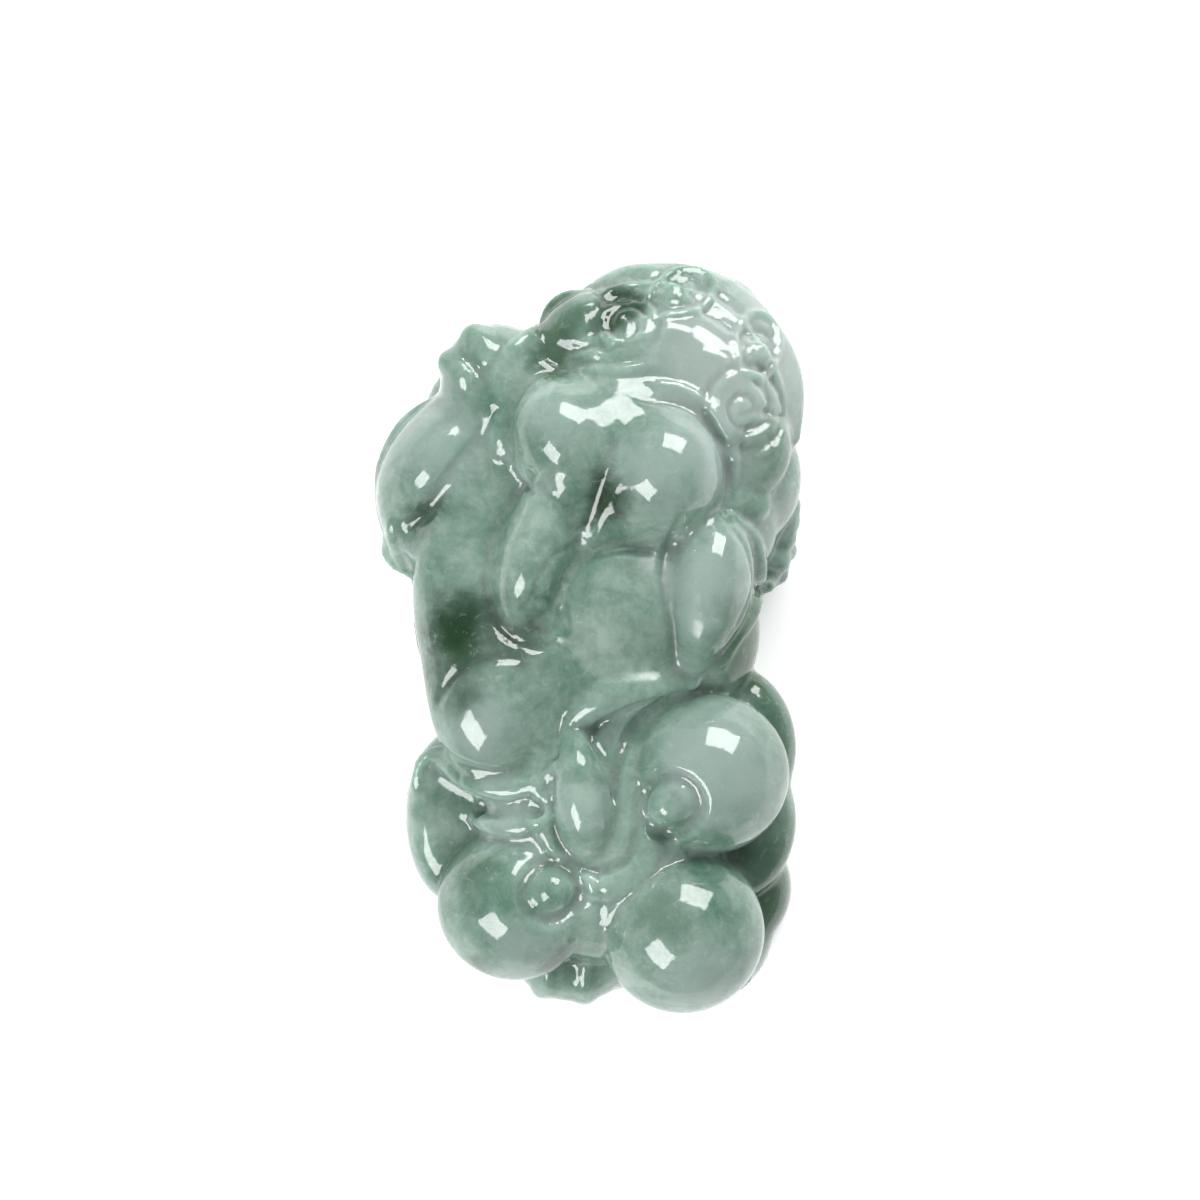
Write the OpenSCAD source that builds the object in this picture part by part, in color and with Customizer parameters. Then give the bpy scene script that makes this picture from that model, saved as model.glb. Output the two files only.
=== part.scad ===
// A crouching guardian beast carved from one block of jade, lying on its flat polished belly.
// Every carved mass of the stone is its own solid, cut to meet its neighbours face to face.
// +Y runs from tail to head, +X to the beast's right, +Z up. The resting face is at Z = 0.

/* [Trunk] */
// Length of the body from rump to chest
body_l = 40; // [33:0.5:48]
// Width of the body across the flanks
body_w = 23.5; // [19.5:0.5:28.5]
// Height of the body from the resting face to the top of the back
body_h = 16; // [13:0.2:19.4]
// How far the trunk lies inside the body at each side, at each end and under the back
trunk_inset = [2.6, 1, 2.4]; // [0:0.1:4]
// How far the belly lies inside the body at each side and at each end
belly_inset = [1.55, 1]; // [0:0.05:3]
// Height of the belly before its underside is ground flat
belly_h = 8; // [6.6:0.2:9.6]
// Place of the belly's middle from the middle of the resting face
belly_place = [0, -1.5, 2.4]; // [-4:0.1:4]

/* [Back] */
// Width and height of the smooth saddle in the middle of the back
saddle_w = 11.2; // [9:0.2:13.6]
saddle_h = 11; // [9:0.2:13.4]
// How far the saddle runs under the crest in front and the haunch behind
saddle_lap = 1.6; // [0.5:0.1:3]
// Saddle's middle from the middle of the back
saddle_place = [1.8, -5.4]; // [-6:0.1:6]
// Width and height of the mane lobe on the right of the back
right_mane_w = 5.8; // [4.8:0.1:7]
right_mane_h = 9.2; // [7.6:0.1:11.2]
// Room between the right mane lobe and the haunch ball behind it
right_mane_gap = 2.1; // [0:0.1:4]
// How far the right mane lobe runs in front of the crest's rear edge
right_mane_lap = 2.6; // [1:0.1:4]
// Right mane lobe's middle from the middle of the back
right_mane_place = [8, -4.2]; // [-9:0.1:9]
// Turn of the right mane lobe
right_mane_turn = -10; // [-30:1:30]
// Width and height of the mane lobe on the left of the back
left_mane_w = 5; // [4.1:0.1:6]
left_mane_h = 9; // [7.4:0.1:11]
// Room between the left mane lobe and the line of the haunch ball's front edge
left_mane_gap = 4.1; // [1:0.1:6]
// How far the left mane lobe runs in front of the crest's rear edge
left_mane_lap = 4.7; // [2:0.1:6]
// Left mane lobe's middle from the middle of the back
left_mane_place = [-3.9, -3.6]; // [-9:0.1:9]
// Turn of the left mane lobe
left_mane_turn = -16; // [-30:1:30]
// Diameter of the curl that ends the left mane lobe
mane_curl_d = 3.2; // [2.6:0.1:3.9]
// Angles of that curl around the left mane lobe and above its middle
mane_curl_bearing = [-75, 25]; // [-90:1:40]
// Width and height of the left flank
left_flank_w = 7.8; // [6.5:0.1:9.4]
left_flank_h = 12.6; // [10.4:0.1:15.2]
// Left flank's middle from the left side of the body at the middle of the open back
left_flank_place = [3.45, 1.2, 8]; // [0:0.1:10]
// How far the left flank laps past both ends of the open back
left_flank_lap = 2; // [0.5:0.1:4]
// Width and height of the right flank
right_flank_w = 6.6; // [5.4:0.1:8]
right_flank_h = 11; // [9:0.1:13.4]
// Right flank's middle from the right side of the body at the middle of the open back
right_flank_place = [-3.55, -0.6, 7.5]; // [-8:0.1:10]
// How far the right flank laps past both ends of the open back
right_flank_lap = 0.4; // [0.1:0.1:3]

/* [Head] */
// Width across the cheeks, length to the snout and height of the head
head_size = [18.8, 15.2, 14.6]; // [12:0.2:24]
// Head's middle from the front top of the body
head_place = [5, -3.4, -7.8]; // [-9:0.1:9]
// Turn of the head to the beast's right
head_turn = -35; // [-60:1:0]
// Width, length and height of the lower jaw and beard
jaw_size = [19.9, 17, 7.6]; // [6:0.2:24]
// Jaw's middle from the head's middle
jaw_place = [0.1, 0.3, -4.6]; // [-6:0.1:2]
// Width, length and height of the snout
snout_size = [7.6, 5.6, 6.6]; // [4:0.1:9.4]
// How far the snout's middle lies inside the head's front
snout_sink = 1.6; // [0.8:0.1:3]
// Height angle of the snout on the head
snout_rise = -12; // [-30:1:30]
// Width, length and height of the brow ridge across the forehead
brow_size = [7.2, 3, 3.6]; // [2:0.1:9]
// Angles of the brow ridge around the head and above its middle
brow_bearing = [97, 63]; // [50:1:120]
// Diameter of each eye
eye_d = 3.1; // [2.6:0.1:3.8]
// Angle of each eye to the side of the head's middle line
eye_spread = 26; // [20:1:34]
// Height angle of the eyes on the head
eye_rise = 38; // [28:1:46]
// Diameter of the spiral curl over each ear
ear_curl_d = 3.8; // [3.1:0.1:4.6]
// Angle of each ear curl to the side of the head's middle line
ear_curl_spread = 61; // [52:1:68]
// Height angle of the ear curls on the head
ear_curl_rise = 51; // [44:1:58]
// Diameter of the tuft at the left front of the head
tuft_d = 3.8; // [3.1:0.1:4.6]
// Angles of the tuft around the head and above its middle
tuft_bearing = [145, 24]; // [10:1:160]
// How far the tuft is let into the head
tuft_sink = 1.1; // [0.6:0.1:1.6]
// Width, length and height of each ear
ear_size = [4.4, 6.2, 5.6]; // [3.4:0.1:7.6]
// Angle of each ear to the side of the head's middle line
ear_spread = 86; // [78:1:96]
// Height angle of the ears on the head
ear_rise = 31; // [22:1:40]
// Turn of each ear away from the head's side
ear_turn = 20; // [0:1:40]
// How far the ears' middles lie inside the head
ear_sink = 0.8; // [0.4:0.1:1.6]
// How far small round forms are let into what carries them
bead_sink = 0.5; // [0.3:0.05:0.9]

/* [Crest] */
// Width, length and height of the crest's right dome
right_crest_size = [8.6, 9.2, 10.4]; // [6:0.1:13]
// Right dome's middle from the front top of the body
right_crest_place = [4.6, -9.1, -2.6]; // [-12:0.1:12]
// Width, length and height of the crest's left dome
left_crest_size = [7.8, 8.8, 10]; // [6:0.1:13]
// Left dome's middle from the right dome's middle
left_crest_place = [-6.5, 2.5, -0.4]; // [-9:0.1:9]
// Turn of the two domes towards each other
crest_turn = 20; // [0:1:40]
// Thickness of the strap around the left dome
strap_thick = 2.8; // [2.3:0.1:3.4]
// Radius of the strap's middle line
strap_ring_r = 4.6; // [4.2:0.1:5.4]
// Strap's centre from the left dome's middle
strap_place = [0.4, 2.3, -1]; // [-3:0.1:3]
// Angle where the strap starts and the angle it sweeps
strap_arc = [75, 105]; // [60:1:120]
// Thickness of the neck band around the right dome
neck_thick = 2.6; // [2.1:0.1:3.2]
// Radius of the neck band's middle line
neck_ring_r = 5.2; // [4.8:0.1:6.2]
// Neck band's centre from the right dome's middle
neck_place = [-0.2, 0.4, 0.8]; // [-3:0.1:3]
// Angle where the neck band starts and the angle it sweeps
neck_arc = [-20, 80]; // [-30:1:90]
// Diameter of the bead where the neck band ends
cheek_bead_d = 2.8; // [2.3:0.1:3.4]
// Bead's middle from the end of the neck band's middle line
cheek_bead_place = [1.3, -0.3, 0]; // [-2:0.1:2]

/* [Front legs] */
// Length along the limb, thickness and height of the left foreleg
left_foreleg_size = [10.6, 5.8, 10]; // [4:0.1:13]
// Left foreleg's middle from the body's left front corner
left_foreleg_place = [0.65, -7.7, 8]; // [-9:0.1:12]
// Turn of the left foreleg
left_foreleg_turn = 51; // [30:1:70]
// Length, width and height of the left forepaw
left_forepaw_size = [8.6, 5, 5.6]; // [4:0.1:11]
// Left forepaw's middle from the body's left front corner
left_forepaw_place = [3.2, -2.6, 2.6]; // [-9:0.1:9]
// Width, length and height of the right foreleg
right_foreleg_size = [6.6, 9.2, 9.4]; // [4:0.1:12]
// Right foreleg's middle from the body's right front corner
right_foreleg_place = [-0.55, -8.8, 6]; // [-11:0.1:9]
// Width, length and height of the right forepaw
right_forepaw_size = [6, 8, 5.6]; // [4:0.1:10]
// Right forepaw's middle from the body's right front corner
right_forepaw_place = [-0.45, -13, 2.6]; // [-15:0.1:9]
// Diameter of each front toe
fore_toe_d = 2.6; // [2.1:0.1:3.2]
// First toe's angle around the paw, the angle to the next toe, and how many toes there are
left_fore_toe_fan = [20, 34, 3]; // [1:1:60]
right_fore_toe_fan = [45, -30, 4]; // [-60:1:60]
// Height angle of the front toes on the paws
fore_toe_rise = -15; // [-30:1:10]
// Width, length and height of the left elbow tuft
elbow_size = [3.4, 4.4, 4]; // [2.4:0.1:5.4]
// Elbow tuft's middle from the left foreleg's middle
elbow_place = [-1.8, -5.5, -1.5]; // [-8:0.1:4]

/* [Haunches] */
// Diameter of the round haunch on the right
haunch_ball_d = 10.9; // [9:0.1:13]
// Right haunch's middle from the rear top of the body
haunch_ball_place = [7.9, 10.9, -4.8]; // [-12:0.1:12]
// Diameter of the round hock behind the right haunch
right_hock_d = 11.2; // [9.3:0.1:13.4]
// How far the right hock presses into the haunch
hock_seat = 0.2; // [0.1:0.05:0.6]
// Direction from the right haunch to the right hock, and how far it drops
hock_bearing = 260.5; // [250:0.5:275]
hock_drop = 0.6; // [0:0.1:2]
// Diameter of the round hock on the left
left_hock_d = 10.4; // [8.6:0.1:12.4]
// Left hock's middle from the rear top of the body
left_hock_place = [-5.2, 2, -5.8]; // [-9:0.1:9]
// Diameter of the knob on the right haunch and of the knob on the left hock
haunch_knob_d = 3.4; // [2.8:0.1:4]
hock_knob_d = 3.4; // [2.8:0.1:4]
// Angles of the haunch knob around the haunch and above its middle
haunch_knob_bearing = [215, 47]; // [0:1:360]
// Angles of the hock knob around the hock and above its middle
hock_knob_bearing = [27, 54]; // [0:1:360]
// Radius of the petal that wraps the right haunch, and its thickness
petal_ring_r = 7.1; // [6:0.1:8.4]
petal_thick = 3; // [2.4:0.1:3.6]
// Petal's centre from the haunch's middle
petal_place = [-3.5, -1.2, 2.2]; // [-6:0.1:6]
// Angle where the petal starts and the angle it sweeps
petal_arc = [72, 88]; // [60:1:110]
// Diameter of the round bead on the left hip
hip_bead_d = 6.1; // [5:0.1:7.4]
// Hip bead's middle from the body's left rear top corner
hip_bead_place = [4.55, 13.9, -4.2]; // [-6:0.1:16]
// Width, length and height of the leaf sprig carved on the left haunch
sprig_size = [7.2, 5, 4.6]; // [3:0.1:9]
// Sprig's middle from the body's left rear top corner
sprig_place = [6, 8.8, -3.4]; // [-6:0.1:12]

/* [Hind legs] */
// Width, length and height of the left hind leg
left_hind_leg_size = [9, 11.4, 10.4]; // [6:0.1:14]
// Left hind leg's middle from the body's left rear corner
left_hind_leg_place = [3.45, 7.6, 7.5]; // [0:0.1:12]
// Width, length and height of the left hind paw
left_hind_paw_size = [8, 11.6, 6.4]; // [4:0.1:14]
// Left hind paw's middle from the body's left rear corner
left_hind_paw_place = [5.15, 2.4, 3]; // [0:0.1:9]
// Width, length and height of the right hind leg
right_hind_leg_size = [11.4, 12.6, 11]; // [7:0.1:15]
// Right hind leg's middle from the body's right rear corner
right_hind_leg_place = [-3.35, 10.6, 6]; // [-6:0.1:14]
// Width, length and height of the right hind paw
right_hind_paw_size = [12.6, 14, 8]; // [5:0.1:17]
// Right hind paw's middle from the body's right rear corner
right_hind_paw_place = [-4.15, 1, 3.8]; // [-6:0.1:6]
// Diameter of each hind toe
hind_toe_d = 3; // [2.5:0.1:3.6]
// First toe's angle around the leg, the angle to the next toe, and how many toes there are
left_hind_toe_fan = [125, 30, 3]; // [1:1:180]
right_hind_toe_fan = [0, 30, 3]; // [-60:1:60]
// Height angle of the hind toes on the legs
hind_toe_rise = -38; // [-45:1:-20]

/* [Tail] */
// Width, length and height of the drop where the tail rises
tail_drop_size = [5, 7.6, 6]; // [4:0.1:9.4]
// Drop's middle from the rear top of the body
tail_drop_place = [-0.2, 8.4, -3.5]; // [-6:0.1:10]
// Turn of the drop
tail_drop_turn = 15; // [0:1:30]
// Radius of the band that loops under the drop, and its thickness
tail_band_r = 3.3; // [2.8:0.1:4]
tail_band_thick = 2.6; // [2.1:0.1:3.2]
// Band's centre from the drop's middle
tail_band_place = [0.7, -1.6, 0.4]; // [-3:0.1:3]
// Angle where the band starts and the angle it sweeps
tail_band_arc = [165, 210]; // [150:1:240]
// Width, length and height of the tuft at the end of the tail
tail_tuft_size = [7.4, 5.8, 7.6]; // [4:0.1:9.4]
// Tail tuft's middle from the rear of the resting face
tail_tuft_place = [-0.8, -2, 5.5]; // [-4:0.1:8]

/* [Hidden] */
PALE = "#a9bdb2";
MID = "#8eaea0";
DEEP = "#6f9783";
GREY = "#aab1ad";

// Hulls along a band, sides of a band, and sides of a broad and of a small round form
BAND_STEPS = 8;
BAND_SIDES = 10;
BROAD_SIDES = 20;
SMALL_SIDES = 14;
// Size over which a round form is broad
BROAD_D = 6.5;

LEFT = -1;
RIGHT = 1;
MIDDLE = 0;
REAR = -1;
FRONT = 1;

// A point given from a corner of the body at the height base
function from_corner(side, end, base, place) =
    [side * body_w / 2, end * body_l / 2, base] + place;
function on_ground(side, end, place) = from_corner(side, end, 0, place);
function on_top(side, end, place) = from_corner(side, end, body_h, place);

// A round form is [middle, size, turn], and a band is [middle, ring radius, thickness, start, sweep]
function is_band(f) = len(f) == 5;
function ball(middle, d) = [middle, [d, d, d], 0];
function turned(v, a) = [v.x * cos(a) - v.y * sin(a), v.x * sin(a) + v.y * cos(a), v.z];
function aim(bearing, rise) = [cos(bearing) * cos(rise), sin(bearing) * cos(rise), sin(rise)];
function along(size, dir, sink) =
    [for (k = [0 : 2]) (size[k] / 2 - sink) * dir[k]];
// The point of a round form's surface at an angle around it and above its middle, let in by sink
function spot(f, bearing, rise, sink) = f[0] + turned(along(f[1], aim(bearing, rise), sink), f[2]);

// Half the box around a form, which tells whether two forms can meet
function half_box(f) = is_band(f)
    ? let (r = f[1] + f[2] / 2) [r, r, f[2] / 2]
    : let (a = f[1].x / 2, b = f[1].y / 2, c = cos(f[2]), s = sin(f[2]))
      [norm([a * c, b * s]), norm([a * s, b * c]), f[1].z / 2];
function can_meet(f, g) =
    let (d = f[0] - g[0], r = half_box(f) + half_box(g))
    abs(d.x) < r.x && abs(d.y) < r.y && abs(d.z) < r.z;
function below_ground(f) = f[0].z < half_box(f).z;

// Crest and head, from the front top of the body
right_crest = [on_top(MIDDLE, FRONT, right_crest_place), right_crest_size, -crest_turn];
left_crest = [right_crest[0] + left_crest_place, left_crest_size, crest_turn];
head_form = [on_top(MIDDLE, FRONT, head_place), head_size, head_turn];
jaw_form = [head_form[0] + jaw_place, jaw_size, head_turn];
snout_form = [spot(head_form, 90, snout_rise, snout_sink), snout_size, head_turn];
brow_form = [spot(head_form, brow_bearing[0], brow_bearing[1], bead_sink), brow_size, head_turn];
tuft_form = ball(spot(head_form, tuft_bearing[0], tuft_bearing[1], tuft_sink), tuft_d);
strap_form = [left_crest[0] + strap_place, strap_ring_r, strap_thick, strap_arc[0], strap_arc[1]];
neck_form = [right_crest[0] + neck_place, neck_ring_r, neck_thick, neck_arc[0], neck_arc[1]];
cheek_bead_form = ball(
    neck_form[0] + neck_ring_r * aim(neck_arc[0], 0) + cheek_bead_place, cheek_bead_d);

// Haunches and hocks, from the rear top of the body
haunch_form = ball(on_top(MIDDLE, REAR, haunch_ball_place), haunch_ball_d);
right_hock_form = ball(
    haunch_form[0] + ((haunch_ball_d + right_hock_d) / 2 - hock_seat) * aim(hock_bearing, 0)
    - [0, 0, hock_drop], right_hock_d);
left_hock_form = ball(on_top(MIDDLE, REAR, left_hock_place), left_hock_d);
petal_form = [haunch_form[0] + petal_place, petal_ring_r, petal_thick, petal_arc[0], petal_arc[1]];
tail_drop_form = [on_top(MIDDLE, REAR, tail_drop_place), tail_drop_size, tail_drop_turn];
tail_band_form = [tail_drop_form[0] + tail_band_place, tail_band_r, tail_band_thick,
    tail_band_arc[0], tail_band_arc[1]];

// The open back lies between the haunch ball's front edge and the right crest dome's rear edge
open_rear = haunch_form[0].y + haunch_ball_d / 2;
open_front = right_crest[0].y - right_crest_size.y / 2;
open_l = open_front - open_rear;
open_y = (open_front + open_rear) / 2;

saddle_form = [[saddle_place[0], open_y, body_h + saddle_place[1]],
    [saddle_w, open_l + 2 * saddle_lap, saddle_h], 0];
right_mane_form = [
    [right_mane_place[0], open_y + (right_mane_gap + right_mane_lap) / 2,
     body_h + right_mane_place[1]],
    [right_mane_w, open_l - right_mane_gap + right_mane_lap, right_mane_h], right_mane_turn];
left_mane_form = [
    [left_mane_place[0], open_y + (left_mane_gap + left_mane_lap) / 2,
     body_h + left_mane_place[1]],
    [left_mane_w, open_l - left_mane_gap + left_mane_lap, left_mane_h], left_mane_turn];
left_flank_form = [
    [-body_w / 2, open_y, 0] + left_flank_place,
    [left_flank_w, open_l + 2 * left_flank_lap, left_flank_h], 0];
right_flank_form = [
    [body_w / 2, open_y, 0] + right_flank_place,
    [right_flank_w, open_l + 2 * right_flank_lap, right_flank_h], 0];

// Legs, paws and tail, from the corners of the resting face
left_foreleg_form =
    [on_ground(LEFT, FRONT, left_foreleg_place), left_foreleg_size, left_foreleg_turn];
left_forepaw_form =
    [on_ground(LEFT, FRONT, left_forepaw_place), left_forepaw_size, left_foreleg_turn];
right_foreleg_form = [on_ground(RIGHT, FRONT, right_foreleg_place), right_foreleg_size, 0];
right_forepaw_form = [on_ground(RIGHT, FRONT, right_forepaw_place), right_forepaw_size, 0];
elbow_form = [left_foreleg_form[0] + elbow_place, elbow_size, 0];
left_hind_leg_form = [on_ground(LEFT, REAR, left_hind_leg_place), left_hind_leg_size, 0];
left_hind_paw_form = [on_ground(LEFT, REAR, left_hind_paw_place), left_hind_paw_size, 0];
right_hind_leg_form = [on_ground(RIGHT, REAR, right_hind_leg_place), right_hind_leg_size, 0];
right_hind_paw_form = [on_ground(RIGHT, REAR, right_hind_paw_place), right_hind_paw_size, 0];
tail_tuft_form = [on_ground(MIDDLE, REAR, tail_tuft_place), tail_tuft_size, 0];
belly_form = [belly_place,
    [body_w - 2 * belly_inset[0], body_l - 2 * belly_inset[1], belly_h], 0];
trunk_h = body_h - trunk_inset[2];
trunk_form = [[0, 0, trunk_h / 2],
    [body_w - 2 * trunk_inset[0], body_l - 2 * trunk_inset[1], trunk_h], 0];

function toes(leg, fan, rise, d) =
    [for (i = [0 : fan[2] - 1]) ball(spot(leg, fan[0] + i * fan[1], rise, d / 4), d)];
function ear(side) =
    [spot(head_form, 90 - side * ear_spread, ear_rise, ear_sink), ear_size,
     head_turn + 90 - side * (ear_spread - ear_turn)];
function eye(side) =
    ball(spot(head_form, 90 - side * eye_spread, eye_rise, bead_sink), eye_d);
function ear_curl(side) =
    ball(spot(head_form, 90 - side * ear_curl_spread, ear_curl_rise, bead_sink), ear_curl_d);

// The carving order: each form cuts its seat out of every form that comes after it
CARVING = [
    ["haunch_knob", [ball(spot(haunch_form, haunch_knob_bearing[0], haunch_knob_bearing[1],
        bead_sink), haunch_knob_d)]],
    ["hock_knob", [ball(spot(left_hock_form, hock_knob_bearing[0], hock_knob_bearing[1],
        bead_sink), hock_knob_d)]],
    ["left_eye", [eye(LEFT)]],
    ["right_eye", [eye(RIGHT)]],
    ["left_ear_curl", [ear_curl(LEFT)]],
    ["right_ear_curl", [ear_curl(RIGHT)]],
    ["head_tuft", [tuft_form]],
    ["brow_ridge", [brow_form]],
    ["mane_curl", [ball(spot(left_mane_form, mane_curl_bearing[0], mane_curl_bearing[1], 0),
        mane_curl_d)]],
    ["cheek_bead", [cheek_bead_form]],
    ["left_fore_toes", toes(left_forepaw_form, left_fore_toe_fan, fore_toe_rise, fore_toe_d)],
    ["right_fore_toes", toes(right_forepaw_form, right_fore_toe_fan, fore_toe_rise, fore_toe_d)],
    ["left_hind_toes", toes(left_hind_leg_form, left_hind_toe_fan, hind_toe_rise, hind_toe_d)],
    ["right_hind_toes", toes(right_hind_leg_form, right_hind_toe_fan, hind_toe_rise, hind_toe_d)],
    ["elbow_tuft", [elbow_form]],
    ["hip_bead", [ball(on_top(LEFT, REAR, hip_bead_place), hip_bead_d)]],
    ["leaf_sprig", [[on_top(LEFT, REAR, sprig_place), sprig_size, 0]]],
    ["tail_drop", [tail_drop_form]],
    ["right_crest_dome", [right_crest]],
    ["left_crest_dome", [left_crest]],
    ["right_haunch", [haunch_form]],
    ["right_hock", [right_hock_form]],
    ["left_hock", [left_hock_form]],
    ["ear_strap", [strap_form]],
    ["neck_band", [neck_form]],
    ["haunch_petal", [petal_form]],
    ["tail_band", [tail_band_form]],
    ["right_mane_lobe", [right_mane_form]],
    ["left_mane_lobe", [left_mane_form]],
    ["back_saddle", [saddle_form]],
    ["snout", [snout_form]],
    ["left_ear", [ear(LEFT)]],
    ["right_ear", [ear(RIGHT)]],
    ["head", [head_form]],
    ["left_foreleg", [left_foreleg_form]],
    ["left_forepaw", [left_forepaw_form]],
    ["right_foreleg", [right_foreleg_form]],
    ["right_forepaw", [right_forepaw_form]],
    ["left_flank", [left_flank_form]],
    ["right_flank", [right_flank_form]],
    ["left_hind_leg", [left_hind_leg_form]],
    ["right_hind_leg", [right_hind_leg_form]],
    ["left_hind_paw", [left_hind_paw_form]],
    ["right_hind_paw", [right_hind_paw_form]],
    ["tail_tuft", [tail_tuft_form]],
    ["jaw", [jaw_form]],
    ["belly", [belly_form]],
    ["trunk", [trunk_form]]
];

// A band is a run of short hulls along its arc, and a round form is one hull
module band(f)
    for (i = [0 : BAND_STEPS - 1])
        hull() for (k = [i, i + 1])
            rotate(f[3] + k * f[4] / BAND_STEPS)
                translate([f[1], 0]) sphere(d = f[2], $fn = BAND_SIDES);

module round_form(f)
    rotate(f[2]) hull() scale(f[1] / 2)
        sphere(r = 1, $fn = max(f[1]) > BROAD_D ? BROAD_SIDES : SMALL_SIDES);

module mass(f) translate(f[0]) if (is_band(f)) band(f); else round_form(f);

module ground()
    translate([0, 0, -body_h / 2]) cube([3 * body_w, 2 * body_l, body_h], center = true);

// One carved mass, less the seats of all that is carved over it and less what is under the ground
module carved(name) {
    rank = search([name], CARVING)[0];
    forms = CARVING[rank][1];
    difference() {
        union() for (f = forms) mass(f);
        for (over = [0 : 1 : rank - 1], g = CARVING[over][1])
            if (len([for (f = forms) if (can_meet(f, g)) f]) > 0) mass(g);
        if (len([for (f = forms) if (below_ground(f)) f]) > 0) ground();
    }
}

module haunch_knob() color(PALE) carved("haunch_knob");
module hock_knob() color(PALE) carved("hock_knob");
module left_eye() color(DEEP) carved("left_eye");
module right_eye() color(DEEP) carved("right_eye");
module left_ear_curl() color(DEEP) carved("left_ear_curl");
module right_ear_curl() color(PALE) carved("right_ear_curl");
module head_tuft() color(GREY) carved("head_tuft");
module brow_ridge() color(PALE) carved("brow_ridge");
module mane_curl() color(PALE) carved("mane_curl");
module cheek_bead() color(MID) carved("cheek_bead");
module left_fore_toes() color(GREY) carved("left_fore_toes");
module right_fore_toes() color(GREY) carved("right_fore_toes");
module left_hind_toes() color(GREY) carved("left_hind_toes");
module right_hind_toes() color(GREY) carved("right_hind_toes");
module elbow_tuft() color(GREY) carved("elbow_tuft");
module hip_bead() color(MID) carved("hip_bead");
module leaf_sprig() color(MID) carved("leaf_sprig");
module tail_drop() color(PALE) carved("tail_drop");
module right_crest_dome() color(MID) carved("right_crest_dome");
module left_crest_dome() color(MID) carved("left_crest_dome");
module right_haunch() color(PALE) carved("right_haunch");
module right_hock() color(PALE) carved("right_hock");
module left_hock() color(MID) carved("left_hock");
module ear_strap() color(MID) carved("ear_strap");
module neck_band() color(PALE) carved("neck_band");
module haunch_petal() color(MID) carved("haunch_petal");
module tail_band() color(PALE) carved("tail_band");
module right_mane_lobe() color(PALE) carved("right_mane_lobe");
module left_mane_lobe() color(PALE) carved("left_mane_lobe");
module back_saddle() color(MID) carved("back_saddle");
module snout() color(PALE) carved("snout");
module left_ear() color(MID) carved("left_ear");
module right_ear() color(PALE) carved("right_ear");
module head() color(MID) carved("head");
module left_foreleg() color(MID) carved("left_foreleg");
module left_forepaw() color(GREY) carved("left_forepaw");
module right_foreleg() color(MID) carved("right_foreleg");
module right_forepaw() color(GREY) carved("right_forepaw");
module left_flank() color(DEEP) carved("left_flank");
module right_flank() color(MID) carved("right_flank");
module left_hind_leg() color(MID) carved("left_hind_leg");
module right_hind_leg() color(MID) carved("right_hind_leg");
module left_hind_paw() color(DEEP) carved("left_hind_paw");
module right_hind_paw() color(MID) carved("right_hind_paw");
module tail_tuft() color(PALE) carved("tail_tuft");
module jaw() color(GREY) carved("jaw");
module belly() color(MID) carved("belly");
module trunk() color(MID) carved("trunk");

haunch_knob();
hock_knob();
left_eye();
right_eye();
left_ear_curl();
right_ear_curl();
head_tuft();
brow_ridge();
mane_curl();
cheek_bead();
left_fore_toes();
right_fore_toes();
left_hind_toes();
right_hind_toes();
elbow_tuft();
hip_bead();
leaf_sprig();
tail_drop();
right_crest_dome();
left_crest_dome();
right_haunch();
right_hock();
left_hock();
ear_strap();
neck_band();
haunch_petal();
tail_band();
right_mane_lobe();
left_mane_lobe();
back_saddle();
snout();
left_ear();
right_ear();
head();
left_foreleg();
left_forepaw();
right_foreleg();
right_forepaw();
left_flank();
right_flank();
left_hind_leg();
right_hind_leg();
left_hind_paw();
right_hind_paw();
tail_tuft();
jaw();
belly();
trunk();
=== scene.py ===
# %% [markdown]
# # A jade beast for the palm of the hand
# The object is one small block of jadeite, carved into a crouching guardian beast and polished
# like glass. There is nothing to assemble: head, haunches, curls and paws are all one stone.
# The solid model gives every carved mass its place and size, and this lesson turns those
# masses into one continuous skin, cuts the fine carving into it, and then makes the stone.

# %% The fixed frame
import math

import bpy
import numpy as np
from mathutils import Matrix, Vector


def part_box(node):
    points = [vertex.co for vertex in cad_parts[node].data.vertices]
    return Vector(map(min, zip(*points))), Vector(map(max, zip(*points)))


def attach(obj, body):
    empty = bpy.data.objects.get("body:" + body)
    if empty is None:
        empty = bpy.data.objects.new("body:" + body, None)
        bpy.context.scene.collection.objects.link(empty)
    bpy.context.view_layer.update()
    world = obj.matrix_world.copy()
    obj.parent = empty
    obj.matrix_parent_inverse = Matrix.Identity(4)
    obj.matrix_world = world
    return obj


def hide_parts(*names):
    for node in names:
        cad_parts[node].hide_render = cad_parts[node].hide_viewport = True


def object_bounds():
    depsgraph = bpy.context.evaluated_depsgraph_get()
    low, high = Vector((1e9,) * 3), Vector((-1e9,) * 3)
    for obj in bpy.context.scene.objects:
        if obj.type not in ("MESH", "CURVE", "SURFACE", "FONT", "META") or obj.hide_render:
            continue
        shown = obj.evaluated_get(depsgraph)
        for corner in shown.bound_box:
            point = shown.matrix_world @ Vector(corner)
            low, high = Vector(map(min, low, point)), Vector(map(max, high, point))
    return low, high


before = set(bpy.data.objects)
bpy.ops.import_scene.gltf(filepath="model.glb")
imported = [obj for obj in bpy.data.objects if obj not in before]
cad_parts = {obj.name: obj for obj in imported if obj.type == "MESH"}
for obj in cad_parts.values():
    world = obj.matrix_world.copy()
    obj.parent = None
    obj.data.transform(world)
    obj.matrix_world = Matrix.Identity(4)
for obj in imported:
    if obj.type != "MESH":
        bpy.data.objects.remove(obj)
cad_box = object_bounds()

import openvdb
from mathutils import Vector

MM = 0.001
scene = bpy.context.scene


def put(name, data):
    """A new object in the scene."""
    made = bpy.data.objects.new(name, data)
    scene.collection.objects.link(made)
    return made


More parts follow.
